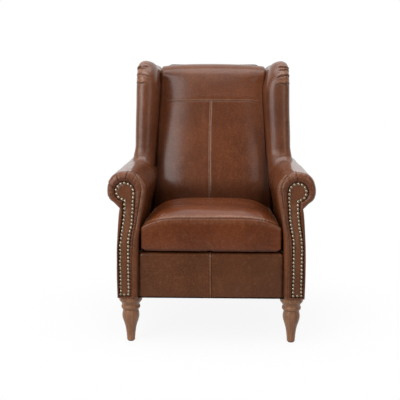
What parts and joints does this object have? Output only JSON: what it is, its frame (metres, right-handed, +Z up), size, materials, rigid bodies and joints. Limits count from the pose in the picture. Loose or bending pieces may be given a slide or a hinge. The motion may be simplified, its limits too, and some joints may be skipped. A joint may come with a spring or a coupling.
{
  "type": "wingback armchair",
  "caption": "High-backed armchair with padded wings, scrolled nail-trimmed arms, a loose box seat cushion, turned front legs and square splayed rear legs, in waxed brown leather",
  "frame": {"origin": "on the floor, under the middle of the chair's bounding box", "axes": "+Z up; the front of the chair faces -Y; +X is the right-hand side as seen from the front"},
  "size_m": [0.78, 0.84, 1.0857],
  "materials": {
    "leather": "semi-gloss waxed cognac-brown leather",
    "leg_wood": "satin lacquered hardwood, warm tan-brown",
    "nail": "aged brass, dark in the hollows",
    "frame_wood": "sawn hardwood, unfinished",
    "plywood": "birch plywood, unfinished",
    "foam": "upholstery foam and wadding",
    "liner_board": "stiff fibre liner",
    "cloth": "non-woven black cloth",
    "webbing": "woven elastic webbing",
    "steel": "bright zinc-plated steel",
    "nylon": "dark nylon",
    "zip_tape": "woven brown tape with nylon teeth",
    "zip_metal": "aged brass"
  },
  "bodies": {
    "chair": {"front_rail": "frame_wood", "rear_rail": "frame_wood", "top_rail": "frame_wood", "lumbar_rail": "frame_wood", "corner_blocks": "frame_wood", "front_post_left": "frame_wood", "front_post_right": "frame_wood", "back_post_left": "frame_wood", "back_post_right": "frame_wood", "side_rail_left": "frame_wood", "side_rail_right": "frame_wood", "arm_rail_left": "frame_wood", "arm_rail_right": "frame_wood", "frame_dowels": "frame_wood", "arm_front_board_left": "plywood", "arm_front_board_right": "plywood", "wing_board_left": "plywood", "wing_board_right": "plywood", "arm_foam_left": "foam", "arm_foam_right": "foam", "arm_edge_roll_left": "foam", "arm_edge_roll_right": "foam", "wing_foam_left": "foam", "wing_foam_right": "foam", "back_foam": "foam", "front_edge_foam": "foam", "deck_pad": "foam", "arm_cover_left": "leather", "arm_cover_right": "leather", "outside_arm_panel_left": "leather", "outside_arm_panel_right": "leather", "wing_cover_left": "leather", "wing_cover_right": "leather", "arm_facing_left": "leather", "arm_facing_right": "leather", "inside_back_cover": "leather", "outside_back_cover": "leather", "front_rail_cover": "leather", "outside_back_liner": "liner_board", "deck_cloth": "cloth", "dust_cover": "cloth", "back_webbing": "webbing", "facing_nails_left": "nail", "facing_nails_right": "nail", "front_leg_left": "leg_wood", "front_leg_right": "leg_wood", "rear_leg_left": "leg_wood", "rear_leg_right": "leg_wood", "frame_screws": "steel", "seat_springs": "steel", "spring_clips": "steel", "leg_bolts": "steel", "leg_inserts": "steel", "leg_glides": "nylon"},
    "cushion": {"seat_cushion_cover": "leather", "seat_foam": "foam", "cushion_zip": "zip_tape"},
    "slider": {"zip_slider": "zip_metal"}
  },
  "joints": [
    {"name": "cushion_out", "type": "slide", "parent": "chair", "child": "cushion", "axis": [0, -1, 0], "range_m": [0, 0.62]},
    {"name": "zip", "type": "slide", "parent": "cushion", "child": "slider", "axis": [1, 0, 0], "range_m": [0, 0.4]}
  ]
}
